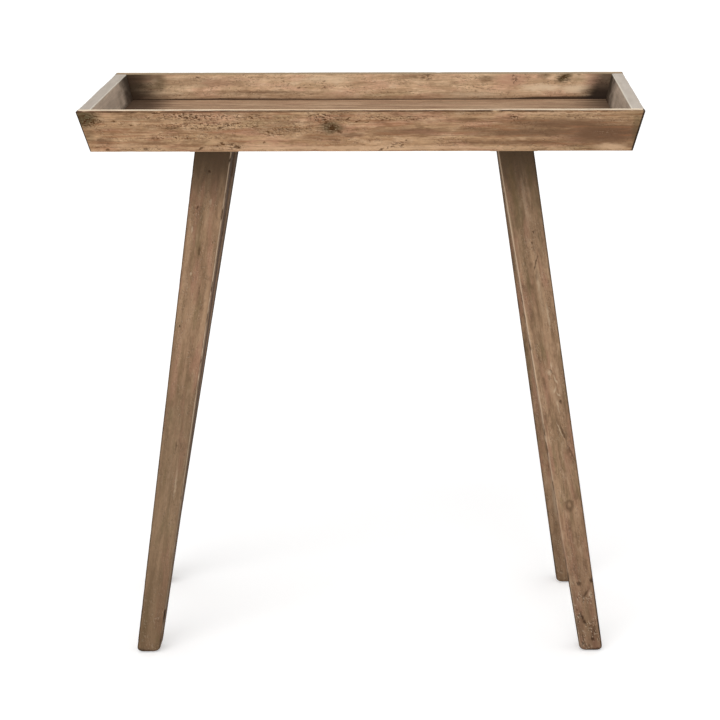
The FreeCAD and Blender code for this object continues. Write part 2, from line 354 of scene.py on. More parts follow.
# %% Sweep a skin through rings of points
def swept_piece(name, rings):
    """A closed mesh through rings with as many points each, with flat ends."""
    count = len(rings[0])
    points = [point for ring in rings for point in ring]
    faces = []
    for start in range(0, len(points) - count, count):
        for i in range(count):
            here, beside = start + i, start + (i + 1) % count
            faces.append((here, beside, beside + count, here + count))
    faces += [tuple(reversed(range(count))), tuple(range(len(points) - count, len(points)))]
    mesh = bpy.data.meshes.new(name)
    mesh.from_pydata(points, [], faces)
    form = bmesh.new()
    form.from_mesh(mesh)
    bmesh.ops.recalc_face_normals(form, faces=form.faces)
    form.to_mesh(mesh)
    form.free()
    mesh.shade_smooth()
    mesh.set_sharp_from_angle(angle=sharp_from)
    piece = bpy.data.objects.new(name, mesh)
    bpy.context.collection.objects.link(piece)
    return piece


def rounded_end(radius, degrees):
    """Places along a rounded end and how far the section draws in there."""
    turns = [math.radians(a) for a in degrees]
    return [(radius * (1 - math.cos(t)), radius * (1 - math.sin(t))) for t in turns]


def lengths_along(length, end_ease, pitch=0.003):
    """The same from one end of a board to the other."""
    low = rounded_end(end_ease, (0, 22, 45, 68, 90))
    steps = max(2, round((length - 2 * end_ease) / pitch))
    middle = [(end_ease + (length - 2 * end_ease) * i / steps, 0.0) for i in range(1, steps)]
    high = [(length - d, inset) for d, inset in reversed(low)]
    return low + middle + high


def drawn_in(corners, inset):
    """The same outline, with every side moved inwards."""
    moved = []
    for i, corner in enumerate(corners):
        back = (corners[i - 1] - corner).normalized()
        ahead = (corners[(i + 1) % len(corners)] - corner).normalized()
        moved.append(corner + (back + ahead) * inset / math.sin(back.angle(ahead)))
    return moved


print("stations of a 0.7 m board:", len(lengths_along(0.7, 0.001)))

# %% [markdown]
# ### The four walls of the tray
#
# Front and back boards run the full width and cap the ends of the two short boards, which
# shows on the rim as a straight seam at each corner. Every wall has a groove on its inner
# face that holds the edge of the tray's floor, so the section has a notch there. On the
# long boards the notch stops before the ends: there it goes on as a line too shallow to
# see, because every ring needs as many points.

# %% Make the walls
board_ease, end_ease = 0.00115, 0.0009
closed_notch = 0.00002


def wall_board(name, place, length, seed, notch_stop):
    """place(offset, z, run) gives a point: offset from the outer face, height, length."""
    section = ((0, tray_bottom), (wall, tray_bottom), (wall, table_height), (0, table_height))
    rings = []
    for along, inset in lengths_along(length, end_ease):
        run = along / length
        outline = [place(offset, z, run) for offset, z in section]
        corners = drawn_in(outline, inset)
        inside = wall - inset / math.cos(lean)
        is_open = notch_stop < along < length - notch_stop
        notch_end = inside - (groove_depth if is_open else closed_notch)
        notch = [(inside, floor_bottom), (notch_end, floor_bottom)]
        notch += [(notch_end, floor_notch_top), (inside, floor_notch_top)]
        ring = []
        for i, corner in enumerate(corners):
            ease = worn_ease(seed * 4 + i, along, board_ease)
            ring += eased_corner(corners[i - 1], corner, corners[(i + 1) % 4], ease)
            if i == 1:
                ring += [place(offset, z, run) for offset, z in notch]
        rings.append(ring)
    return swept_piece(name, rings)


def long_wall(name, side, seed):
    def place(offset, z, run):
        return Vector(((2 * run - 1) * half_width(z), side * (half_depth(z) - offset), z))

    return wall_board(name, place, 2 * half_width(table_height), seed, wall - groove_depth)


def short_wall(name, side, seed):
    def place(offset, z, run):
        return Vector((side * (half_width(z) - offset), (2 * run - 1) * (half_depth(z) - wall), z))

    return wall_board(name, place, 2 * (half_depth(table_height) - wall), seed, -1)


walls = {
    "front_board": long_wall("worn_front_board", -1, 1),
    "back_board": long_wall("worn_back_board", 1, 2),
    "left_board": short_wall("worn_left_board", -1, 3),
    "right_board": short_wall("worn_right_board", 1, 4),
}
for node, piece in walls.items():
    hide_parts(node)
    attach(piece, "root")
print("wall meshes:", {node: len(piece.data.vertices) for node, piece in walls.items()})

# %% [markdown]
# ### The four legs
#
# Each leg is square, tapers to the foot and leans out both ways. It is swept upwards from
# the floor. The foot is rounded where it has been dragged over floors, and its corners
# are worn rounder than the arrises higher up.

# %% Make the legs
leg_ease, leg_chip = 0.0021, 0.0026
foot_wear, foot_wear_height = 0.0028, 0.025


def worn_leg(name, side_x, side_y, seed):
    rings = []
    foot = rounded_end(foot_round, range(0, 91, 15))
    steps = round((leg_top - foot_round) / 0.0035)
    shaft = [(foot_round + (leg_top - foot_round) * i / steps, 0.0) for i in range(1, steps + 1)]
    for z, inset in foot + shaft:
        middle = leg_middle(side_x, side_y, z)
        half = leg_side(z) / 2
        square = [middle + Vector((half * a, half * b, 0)) for a, b in square_corners]
        corners = drawn_in(square, inset)
        near_foot = max(0.0, 1 - z / foot_wear_height)
        ring = []
        for i, corner in enumerate(corners):
            ease = worn_ease(seed * 4 + i + 40, z, leg_ease, 0.5, leg_chip) + foot_wear * near_foot
            ring += eased_corner(corners[i - 1], corner, corners[(i + 1) % 4], ease)
        rings.append(ring)
    return swept_piece(name, rings)


sides = {"left": -1, "right": 1, "front": -1, "back": 1}
legs = {}
for seed, (y_name, x_name) in enumerate((y, x) for y in ("front", "back") for x in ("left", "right")):
    node = f"leg_{y_name}_{x_name}"
    legs[node] = worn_leg("worn_" + node, sides[x_name], sides[y_name], seed)
    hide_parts(node)
    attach(legs[node], "root")
print("leg meshes:", {node: len(piece.data.vertices) for node, piece in legs.items()})

# %% [markdown]
# ## Old stained wood
#
# Wood is a solid, so its figure is worked out in the board's own frame, in millimetres:
# along the grain, across the board, and deep into it. A face then shows the figure that
# a saw would lay bare. On top of that come things that happened to the board later, which
# know where they are: worn arrises, dirt in corners, knots, worm holes and stains at
# chosen places.

# %% A board's own frame
class Timber:
    """A piece of wood: where it starts, which way its grain runs, and its flat faces."""

    def __init__(self, origin, along, across, faces=()):
        self.origin, self.along = Vector(origin), Vector(along).normalized()
        self.across = (Vector(across) - self.along * self.along.dot(Vector(across))).normalized()
        self.deep = self.along.cross(self.across)
        self.faces = dict(faces)

    def lay_out(self, sheet):
        """The three coordinates, and how far in from each named face a point lies."""
        run = [sheet.measure(self.origin, way) for way in (self.along, self.across, self.deep)]
        return run, {name: sheet.measure(*face) for name, face in self.faces.items()}


def wall_timber(side, is_long):
    """Frame of a wall: origin at mid-length on the outer bottom arris."""
    half = half_depth if is_long else half_width
    end_half = half_width if is_long else half_depth

    def turned(out, run, z):
        return (run, side * out, z) if is_long else (side * out, run, z)

    slope = math.tan(lean)
    origin = turned(half(tray_bottom), 0, tray_bottom)
    end = end_half(tray_bottom) - (0 if is_long else wall)
    faces = {
        "outer": (origin, turned(-1, 0, slope)),
        "inner": (turned(half(tray_bottom) - wall, 0, tray_bottom), turned(1, 0, -slope)),
        "top": ((0, 0, table_height), (0, 0, -1)),
        "bottom": ((0, 0, tray_bottom), (0, 0, 1)),
        "floor": ((0, 0, floor_top), (0, 0, 1)),
        "low_end": (turned(0, -end, tray_bottom), turned(0, 1, slope)),
        "high_end": (turned(0, end, tray_bottom), turned(0, -1, slope)),
    }
    return Timber(origin, turned(0, 1, 0), turned(slope, 0, 1), faces)


def leg_timber(side_x, side_y):
    """Frame of a leg: origin at the middle of its foot."""
    def middle(z):
        return leg_middle(side_x, side_y, z)

    up = middle(leg_top) - middle(0)
    faces = {}
    for name, a, b in (("left", -1, 0), ("right", 1, 0), ("front", 0, -1), ("back", 0, 1)):
        foot = middle(0) + Vector((a, b, 0)) * leg_side(0) / 2
        head = middle(leg_top) + Vector((a, b, 0)) * leg_side(leg_top) / 2
        inward = (head - foot).cross(Vector((b, -a, 0)))
        if inward.dot(middle(leg_top / 2) - foot) < 0:
            inward.negate()
        faces[name] = (tuple(foot), tuple(inward))
    return Timber(middle(0), up, (1, 0, 0), faces)


front_timber = wall_timber(-1, True)
print("front board: deep points to", tuple(round(v, 2) for v in front_timber.deep))

# %% [markdown]
# ### Figure of the wood
#
# A tree grows in rings, so the rings are circles round a far-off pith, and a board shows
# slices of them as long lines. Slow noise makes them wander. At a knot the lines bend
# round it, which we get by stretching the figure there. The stain took unevenly: broad
# and narrow streaks, blots of pink and olive, and clusters of small dark pits. Each pit
# has a pale lip on one side, for which the same pattern is laid down again a little way
# off. A sheet keeps its colour, and each coat covers it by a share.

# %% Colour and height of stained wood
def wood_figure(sheet, run, seed, tones, knots=(), wander=8, streak=1, blots=1, pits=1):
    """First coats of stained wood on a sheet; gives its height and the flat place."""
    along, across, deep = run
    shift = (seed * 3.71, seed * 1.37, seed * 2.53)
    flat = sheet.place(along, across)
    bent = across
    for middle, size in knots:
        swell = flat.oval(middle, (4.5 * size[0], 2.6 * size[1]), soft=1)
        bent = bent - (across - middle[1]) * swell * 0.8
    solid = sheet.place(along, across, deep)
    drift = solid.flecks((300, 45, 45), shift, 1) - 0.5
    ripple = solid.flecks((34, 12, 12), shift, 1) - 0.5
    bent = bent + drift * (2 * wander) + ripple * 2.4
    grain = sheet.place(along, bent, deep)

    from_pith = sheet.place(bent - 12, deep - 50)
    radius = from_pith.run("LENGTH", "Value")
    ring = (radius / 5.5).run("FRACT")
    late = ring.smooth(0.3, 0.85) * ring.smooth(1, 0.9)

    def further(step):
        return tuple(s + step for s in shift)

    broad = grain.flecks((130, 9, 9), shift, 3, 0.6)
    narrow = grain.flecks((40, 2.4, 2.4), shift, 4, 0.65)
    fine = grain.flecks((7, 0.9, 0.9), shift, 2, 0.6)
    mottle = solid.flecks((4.5, 2.4, 2.4), shift, 3, 0.6)
    blot = solid.flecks((22, 9, 9), further(5), 4, 0.6)
    hue = grain.flecks((60, 12, 12), further(31), 3)
    green = solid.flecks((70, 13, 13), further(57), 3)
    pitting = solid.flecks((3.2, 1.7, 1.7), further(11))
    lipping = solid.flecks((3.2, 1.7, 1.7), further(11.25))
    patch = solid.flecks((34, 10, 10), further(83))

    sheet.colour = sheet.mix(broad.smooth(0.36, 0.64), tones["light"], tones["mid"])
    sheet.coat(hue.smooth(0.48, 0.64) * 0.7, tones["pink"])
    sheet.coat(green.smooth(0.54, 0.7) * 0.45, tones["olive"])
    sheet.coat(blot.smooth(0.5, 0.68) * 0.45 * blots, tones["dark"])
    sheet.coat(blot.smooth(0.46, 0.3) * 0.45 * blots, tones["pale"])
    sheet.coat(narrow.smooth(0.5, 0.7) * 0.6 * streak, tones["dark"])
    sheet.coat(narrow.smooth(0.44, 0.3) * 0.4 * streak, tones["pale"])
    gain = (fine - 0.5) * (0.6 * streak) + (mottle - 0.5) * 0.5
    sheet.colour = sheet.colour * (1 - late * 0.1 * streak + gain)
    clusters = patch.smooth(0.46, 0.56) * pits
    chips = lipping.smooth(0.58, 0.64) * clusters
    sheet.coat(chips * 0.45, tones["worn"])
    holes = pitting.smooth(0.58, 0.63) * clusters
    sheet.coat(holes * 0.85, tones["dirt"])
    height = fine * 0.5 + narrow * 0.3 - late * 0.15 - holes * 0.6
    return height, flat


brown_tones = dict(
    light=(184, 149, 114), mid=(160, 124, 92), dark=(116, 85, 60), pale=(206, 172, 138),
    pink=(178, 133, 106), olive=(150, 126, 92), dirt=(72, 43, 16), worn=(220, 188, 156),
)
print("tones of the brown finish:", sorted(brown_tones))

# %% [markdown]
# ### Marks of age
#
# A mark is written as its middle, its reach each way, its strength, and a turn in degrees.
# Pits and worm holes come in clusters, so one fine pattern of pits is shown only inside
# chosen ovals. Cracks wander through the same ovals: they are the level lines of a slow
# noise, drawn the way a map draws heights. Stains and worn spots are soft ovals too. The
# place is shaken by noise before these are drawn, so that their outlines turn out ragged.

# %% Stains, pits and the last coats
face_edge = (1.6, 0.8)


def shaken(flat, amount, size=(9, 4, 4)):
    """The flat place with a ragged shift of up to about amount millimetres."""
    blots = flat.flecks(size, output="Color")
    return flat + (blots - 0.5) * (2 * amount, 2 * amount, 0)


def spots(flat, marks, soft=0.75):
    """Strongest of several ovals: place, reach each way, strength, and a turn if it has one."""
    ovals = []
    for x, y, wide, high, strength, *turn in marks:
        ovals.append(flat.oval((x, y), (wide, high), *(turn or [0]), soft) * strength)
    return reduce(Field.most, ovals)


def pitted(flat, shift):
    """A scatter of small ragged pits, 0 to 1."""
    return flat.flecks((4.8, 2.2, 2.2), shift, 2, 0.6).smooth(0.54, 0.6)


def crackle(flat, shift):
    """Thin wandering cracks, 0 to 1: the middle line of a slow noise, broken by a quick one."""
    from_line = abs(flat.flecks((13, 4.5, 4.5), shift, 2, 0.6) - 0.5)
    kept = flat.flecks((8, 4, 4), shift, 1).smooth(0.47, 0.53)
    return from_line.smooth(0.035, 0.012) * kept


def near_arris(first, second, reach):
    """1 on the arris where two faces meet, 0 further than reach millimetres from it."""
    return first.most(second).smooth(reach, reach * 0.35)


def finish_wood(sheet, height, relief=0.0004, dull=0.82):
    """The last step of every wood: a dry surface and the relief of the grain."""
    inputs = {"Strength": 0.9, "Distance": relief, "Height": height}
    bump = sheet.node("ShaderNodeBump", inputs, "Normal")
    roughness = dull - (height - 0.4) * 0.12
    sheet.shade(Base_Color=sheet.colour, Roughness=roughness, Specular_IOR_Level=0.1, Normal=bump)
    return sheet.owner


def dress(piece, material):
    """This one material for a piece, in place of any that it came with."""
    piece.data.materials.clear()
    piece.data.materials.append(material)
    print(piece.name, "wears", material.name, "of", len(material.node_tree.nodes), "nodes")


print("a face's own marks fade out within", face_edge[0], "mm of it")

# %% [markdown]
# ### The front board
#
# This is the face that everyone sees, so its knots and stains have chosen places, in
# millimetres from mid-length and up from the bottom edge. The rim is rubbed to a pale
# cream, which also stands in for a painted highlight, and thin broken lines of dirt
# follow its front arris on both faces.

# %% Marks of the front board
front_marks = {
    "browner": [
        (60, 27, 75, 7, 0.6), (230, 26, 150, 9, 0.8), (260, 38, 110, 10, 0.75), (-12, 23, 24, 5, 0.7),
        (-328, 15, 16, 7, 0.75), (-60, 20, 50, 4, 0.35), (190, 12, 110, 4, 0.55),
        (310, 24, 90, 22, 0.95), (-270, 12, 40, 4, 0.4),
    ],
    "paler": [
        (0, 5, 330, 4.5, 0.6), (318, 6, 28, 7, 0.8), (240, 52.5, 110, 2, 0.6), (-130, 8, 60, 5, 0.4),
        (-300, 8, 30, 6, 0.35), (30, 12, 40, 4, 0.35),
    ],
    "mossy": [
        (-352, 46, 32, 18, 0.95, 15), (-345, 22, 8, 14, 0.3), (350, 28, 9, 30, 0.5),
        (-38, 33, 22, 13, 0.8), (-290, 46, 30, 5, 0.3),
    ],
    "dark": [
        (-313, 42, 5, 1.8, 1, -15), (-291, 37, 3.5, 1.6, 1), (-259, 53, 10, 1.3, 0.9),
        (-247, 32, 12, 1, 0.8, -4), (-324, 3, 4, 2.2, 0.8), (-118, 27, 5, 1.6, 0.9, -30),
        (-205, 4.5, 5, 2.6, 1, 30), (-158, 7, 7, 2.6, 1, -35), (-177, 11, 5, 1.8, 0.9, -30),
        (-124, 13, 3, 1.6, 0.8, 40), (-37, 33, 8, 6, 0.95, 30), (-28, 28, 7, 3, 0.85, -40),
        (-44, 40, 6, 3, 0.8, 50), (-17, 45, 6, 1.4, 0.9, 25), (-4, 42, 6, 1.4, 0.9, 25),
        (8, 41, 5, 1.3, 0.8, 20), (28, 43.5, 6, 1.3, 0.9, 10), (24, 2.2, 8, 1.8, 0.9, 30),
        (33, 5, 4, 1.5, 0.8, 60), (57, 15.5, 2.5, 1.4, 0.8), (190, 48, 2.5, 1.4, 0.8),
        (198, 47, 2.4, 1.6, 0.8), (194, 43, 2.2, 1.6, 0.7), (190, 40, 2, 1.4, 0.7),
    ],
    "clusters": [
        (-200, 48, 140, 7, 1), (-45, 47, 36, 9, 1.1), (-190, 36, 120, 10, 0.75),
        (-230, 20, 110, 8, 0.5), (-90, 32, 50, 10, 0.6), (-225, 50, 45, 5, 1.3),
        (-345, 44, 28, 15, 1.3), (-38, 33, 16, 11, 1.2), (195, 47, 11, 8, 1), (-168, 7, 30, 7, 1),
        (-110, 24, 40, 8, 0.5), (45, 46, 80, 6, 0.6), (46, 9, 22, 8, 0.7), (-280, 3, 50, 3, 0.8),
        (280, 47, 60, 4, 0.4), (310, 26, 30, 6, 0.3),
    ],
}
print("front board marks:", {kind: len(marks) for kind, marks in front_marks.items()})

# %% Finish of the front board
def front_board_finish(timber, tones, marks):
    sheet = new_finish("brown_stain_front")
    run, depth = timber.lay_out(sheet)
    along = run[0]
    knots = [((-36, 33), (9, 7)), ((-160, 6), (7, 5)), ((196, 46), (8, 6))]
    height, flat = wood_figure(sheet, run, 1, tones, knots, streak=1.2, blots=1.25, pits=0.5)
    on_face = depth["outer"].smooth(*face_edge)
    ragged = shaken(flat, 3)

    sheet.coat(spots(ragged, marks["browner"]) * on_face, (112, 82, 60))
    red = flat.flecks((70, 4, 4), (21, 3, 5), 3, 0.6)
    sheet.coat(red.smooth(0.54, 0.64) * on_face * 0.55, (146, 102, 72))
    sheet.coat(spots(ragged, marks["paler"]) * on_face, (208, 172, 138))
    sheet.coat(spots(ragged, marks["mossy"]) * on_face, (88, 76, 52))
    close = shaken(flat, 2.6, (3.4, 1.7, 1.7))
    where = spots(ragged, marks["clusters"], 1) * on_face
    mould = along.smooth(-300, -325)
    lips = pitted(flat, (1.28, 1.3, 0)) * where * (1 - mould * 0.7)
    sheet.coat(lips * 0.5, tones["worn"])
    worm = pitted(flat, (1, 1, 0)) * where
    cracks = crackle(flat, (3, 5, 0)) * where.smooth(0.1, 0.5)
    holes = (spots(close, marks["dark"]) * on_face).most(worm).most(cracks)
    sheet.coat(holes * 0.9, tones["dirt"])

    wear = flat.flecks((26, 3, 3), (3, 7, 1), 3)
    from_edge = depth["outer"] + (wear - 0.5) * 7
    # The rim's top face is worn to a pale cream, which also stands in for a painted highlight from the
    # light above.
    rubbed_and_highlit = depth["top"].smooth(0.7, 0.3) * wear.smooth(0.2, 0.4) * from_edge.smooth(2, 5)
    cream = sheet.mix(abs(along).smooth(60, 260), (230, 198, 164), (255, 234, 206))
    sheet.coat(rubbed_and_highlit * 0.92, cream)
    line = from_edge.smooth(9, 6.5) * from_edge.smooth(1, 3.5) * depth["top"].smooth(1.7, 0.9)
    breakup_noise = flat.flecks((30, 4, 4), (13, 2, 5), 3)
    faint = along.smooth(190, 290) * 0.4
    sheet.coat(line * breakup_noise.smooth(0.2, 0.38) * (0.98 - faint), (58, 40, 27))
    below = depth["top"].smooth(1.6, 1) * depth["outer"].smooth(1.1, 0.6)
    sheet.coat(below * breakup_noise.smooth(0.22, 0.4) * (0.85 - faint), (62, 38, 22))
    ends = depth["low_end"].smooth(2, 0.8).most(depth["high_end"].smooth(3, 2))
    sheet.colour = sheet.colour * (1.12 - along.smooth(20, 280) * 0.12)
    sheet.coat(ends * 0.9, (42, 32, 24))
    edge = depth["bottom"].smooth(1.6, 0.4) * wear.smooth(0.35, 0.5)
    sheet.coat(edge * 0.6, (204, 164, 126))
    return finish_wood(sheet, height - worm * 1.5)


dress(walls["front_board"], front_board_finish(front_timber, brown_tones, front_marks))

# %% [markdown]
# ### The back board
#
# Only its inner face shows from the front. Its tones are painted paler than the front's,
# painted light for an inner face that tilts up towards the lamps. It has a row of knots
# along the top, and gets dark and mossy towards both corners of the tray, with dust, damp
# and painted shade. A painted shade rises a little from the floor, and a dark line of dirt
# marks the joint itself.

# %% Marks of the back board
back_marks = {
    "browner": [
        (-230, 40, 90, 10, 0.4), (-150, 26, 120, 5, 0.6), (165, 44, 14, 7, 0.5), (120, 24, 60, 4, 0.4),
        (60, 50, 30, 6, 0.45), (-330, 50, 60, 8, 0.4),
    ],
    "rosy": [(200, 42, 34, 12, 0.6), (316, 46, 18, 14, 0.5), (-290, 52, 30, 6, 0.3)],
    "creamy": [
        (245, 32, 44, 7, 0.85), (290, 30, 28, 9, 0.8), (-60, 44, 60, 8, 0.4), (150, 22, 60, 5, 0.5),
    ],
    "mossy": [
        (276, 46, 18, 8, 1, 25), (248, 49, 14, 7, 0.55), (86, 52, 8, 3, 0.5), (62, 47, 9, 4, 0.4),
        (-296, 40, 12, 18, 0.5), (166, 45, 22, 7, 0.25),
    ],
    "dark": [
        (-243, 47, 4, 1.8, 0.9), (-100, 32, 4, 1.4, 0.9), (-90, 32, 3, 1.1, 0.8),
        (-63, 33, 2.5, 1.6, 0.9), (-64, 41, 2.5, 1.2, 0.7), (34, 53, 4, 2.4, 0.7),
        (81, 50, 9, 1.2, 0.8), (76, 46, 5, 1.2, 0.7, 20), (204, 49, 1.6, 1.6, 0.9),
        (208, 43, 1.6, 1.6, 0.9), (205, 38, 1.6, 1.4, 0.8), (275, 47, 8, 2.4, 0.85, 35),
        (283, 51, 7, 1.6, 0.7, 20), (268, 44, 5, 1.6, 0.7, -20), (297, 50, 4, 1.4, 0.6),
        (-152, 26, 60, 1.2, 0.5),
    ],
    "clusters": [
        (81, 47, 16, 7, 0.9), (206, 44, 8, 10, 0.9), (276, 44, 18, 9, 0.8), (-240, 46, 30, 8, 0.5),
        (40, 42, 40, 9, 0.5),
    ],
}
print("back board marks:", {kind: len(marks) for kind, marks in back_marks.items()})

# %% Finish of the back board
def back_board_finish(timber, tones, marks):
    sheet = new_finish("brown_stain_back")
    run, depth = timber.lay_out(sheet)
    along, across = run[:2]
    knots = [((81, 49), (10, 6)), ((207, 44), (7, 7)), ((248, 50), (13, 7)), ((276, 47), (12, 6))]
    # Paler tones than the front's: painted light for an inner face that tilts up towards the lamps.
    painted_light_tones = dict(
        light=(220, 188, 153), mid=(202, 167, 133), dark=(152, 120, 89),
        pale=(238, 210, 176), pink=(210, 168, 139), olive=(188, 163, 123),
    )
    height, flat = wood_figure(sheet, run, 2, {**tones, **painted_light_tones}, knots, wander=5, pits=0.5)
    inside = depth["inner"].smooth(*face_edge)
    ragged = shaken(flat, 4)

    stains = {"browner": (128, 98, 72), "rosy": (190, 144, 120), "creamy": (226, 200, 168)}
    for kind, tint in {**stains, "mossy": (96, 80, 54)}.items():
        sheet.coat(spots(ragged, marks[kind]) * inside, tint)

    close = shaken(flat, 2, (4, 1.8, 1.8))
    where = spots(ragged, marks["clusters"], 1)
    sheet.coat(pitted(flat, (4.28, 2.3, 0)) * where * inside * 0.5, tones["worn"])
    worm = pitted(flat, (4, 2, 0)).most(crackle(flat, (7, 5, 0)))
    holes = spots(close, marks["dark"]).most(worm * where) * inside
    sheet.coat(holes * 0.8, tones["dirt"])

    foot = depth["floor"]
    breakup_noise = flat.flecks((40, 4, 4), (7, 1, 2), 3)
    right_run = along.smooth(180, 250) * 1.6
    left_run = along.smooth(-80, -160) * along.smooth(-300, -230) * 0.5
    # A painted shade rises about 12 mm up the inner face from the floor; the thin dark line right in
    # the joint is dirt.
    shade = (foot + (breakup_noise - 0.5) * 10).smooth(12, 1) * inside * 0.6
    sheet.coat(shade, (118, 84, 58))
    reach = (breakup_noise - 0.3) * 1.8 + (right_run + left_run) * 1.6
    under = (foot - reach).smooth(1.3, 0.2) * inside
    sheet.coat(under * 0.9, (56, 40, 28))
    # Both back corners of the tray darken with dirt and painted shade.
    left_corner_dirt_and_shade = (depth["low_end"] + (breakup_noise - 0.5) * 24).smooth(84, 22)
    right_corner_dirt_and_shade = (depth["high_end"] + (breakup_noise - 0.5) * 14 + across * 0.4).smooth(72, 42)
    sheet.coat(left_corner_dirt_and_shade * inside * 0.93, (50, 36, 25))
    black = 0.8 + across.smooth(46, 24) * 0.18
    sheet.coat(right_corner_dirt_and_shade * inside * black, (44, 33, 26))

    rim = depth["top"].smooth(1.1, 0.3)
    sheet.coat(rim * 0.7, (150, 132, 104))
    ends = depth["low_end"].smooth(2, 0.6).most(depth["high_end"].smooth(2, 0.6))
    sheet.coat(ends * 0.6, (70, 54, 40))
    return finish_wood(sheet, height - holes * 1.5)


dress(walls["back_board"], back_board_finish(wall_timber(1, True), brown_tones, back_marks))

# %% [markdown]
# ### The two end boards
#
# Hands lift the table by its ends, so the stain has gone from their rims and inner faces
# and left them a pale grey beige, which also stands in for a painted sheen. The left inner
# face is painted paler and the right one darker, and the rims the other way round: painted
# light and shade. Towards the back corners dirt and painted shade make them nearly as dark
# as the back board, and a painted shade lies along the floor. Outside they keep the brown
# finish.

# %% Finish of the end boards
def end_board_finish(name, timber, tones, seed, darkness, inner_painted_light, rim_painted_light):
    """darkness is the back corner's; the last two paint light and shade on inner face and rim."""
    sheet = new_finish(name)
    run, depth = timber.lay_out(sheet)
    height, flat = wood_figure(sheet, run, seed, tones, wander=5)
    inner_side = depth["inner"].smooth(*face_edge)
    rim = depth["top"].smooth(1.4, 0.4)
    streaks = flat.flecks((70, 2, 2), (seed, 3, 1), 3)
    cloud = flat.flecks((30, 14, 14), (seed, 9, 4), 3) - 0.5
    # The inner face and the rim turn a pale grey beige: stain worn away, and also a painted sheen. The
    # inner face is paler towards the rim.
    grey = sheet.mix(streaks, (158, 143, 127), (200, 186, 170)) * (inner_painted_light + cloud * 0.9)
    sheet.coat(inner_side * 0.82, grey * (0.96 + depth["top"].smooth(18, 0) * 0.26))
    pale_wear_and_sheen = sheet.mix(streaks, (184, 174, 162), (214, 206, 196)) * (rim_painted_light + cloud * 0.2)
    sheet.coat(rim * 0.88, pale_wear_and_sheen)

    # The inner face darkens towards the back corner with dirt and painted shade.
    back_corner_dirt_and_shade = (mm * well_half_y - run[0] + cloud * 80).smooth(100, 5) * inner_side * darkness
    sheet.coat(back_corner_dirt_and_shade, (58, 46, 34))
    # A painted shade on the inner face just above the floor.
    sheet.coat((depth["floor"] + cloud * 16).smooth(9, 1) * inner_side * 0.6, (74, 56, 42))
    arris = near_arris(depth["top"], depth["inner"], 1.6)
    sheet.coat(arris * streaks.smooth(0.3, 0.5) * 0.8, (232, 224, 208))
    return finish_wood(sheet, height * 0.7)


# For each end board: its side, the darkness of its back corner, and the painted light and shade of its
# inner face and its rim.
end_boards = (("left_board", -1, 0.95, 1.28, 0.94), ("right_board", 1, 0.97, 0.92, 1.06))
for seed, (node, side, *shades) in enumerate(end_boards):
    timber = wall_timber(side, False)
    finish = end_board_finish("grey_stain_" + node, timber, brown_tones, 3 + seed, *shades)
    dress(walls[node], finish)

# %% [markdown]
# ### The floor of the tray
#
# Three boards lie along the tray, tongued together. They are smoother than the walls and
# more even in colour, with fine lengthwise streaks. The packed shapes are right as they
# are, so each board only gets its own finish, with a thin dark line at its seams.

# %% Finish of the floor boards
def floor_board_finish(name, seed, seams):
    sheet = new_finish(name)
    run = Timber((0, 0, floor_top), (1, 0, 0), (0, 1, 0)).lay_out(sheet)[0]
    along, across = run[:2]
    tones = dict(
        light=(190, 155, 124), mid=(166, 132, 104), dark=(120, 92, 70), pale=(210, 178, 146),
        pink=(174, 136, 110), olive=(152, 128, 100), dirt=(78, 58, 42), worn=(214, 186, 156),
    )
    height, flat = wood_figure(sheet, run, seed, tones, wander=2, streak=1.6, blots=0.7, pits=0.3)
    streaks = flat.flecks((190, 8, 8), (seed, 5, 2), 4, 0.6)
    sheet.coat(streaks.smooth(0.46, 0.62) * 0.5, (124, 96, 72))
    lines = flat.flecks((120, 4.5, 4.5), (seed, 9, 6), 4, 0.6)
    near_right = 0.1 + along.smooth(230, 290) * 0.5
    sheet.coat(lines.smooth(0.5, 0.6) * near_right, (84, 66, 50))
    sheet.coat(lines.smooth(0.5, 0.36) * 0.45, (218, 186, 154))
    for seam in seams:
        sheet.coat(abs(across - seam).smooth(0.9, 0.3) * 0.8, (58, 44, 34))
    # The floor darkens towards both end walls with dirt and painted shade, and a narrow painted shade
    # runs along the front and back walls.
    ragged_end_reach = flat.flecks((60, 20, 20), (11, 2, 8), 2) * 30
    sheet.coat((mm * well_half_x + along + ragged_end_reach).smooth(94, 40) * 0.88, (60, 43, 30))
    sheet.coat((mm * well_half_x - along + ragged_end_reach).smooth(70, 14) * 0.8, (74, 58, 44))
    sheet.coat((mm * well_half_y - abs(across)).smooth(5, 0) * 0.6, (92, 68, 50))
    return finish_wood(sheet, height * 0.6, relief=0.0002, dull=0.78)


seam_at = mm * well_half_y / 3
seams_of = {"front": (-seam_at,), "middle": (-seam_at, seam_at), "back": (seam_at,)}
for seed, (part, seams) in enumerate(seams_of.items()):
    finish = floor_board_finish("brown_stain_floor_" + part, 11 + seed, seams)
    dress(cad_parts["floor_plank_" + part], finish)
print("seams at", round(seam_at, 1), "mm each side of the middle")
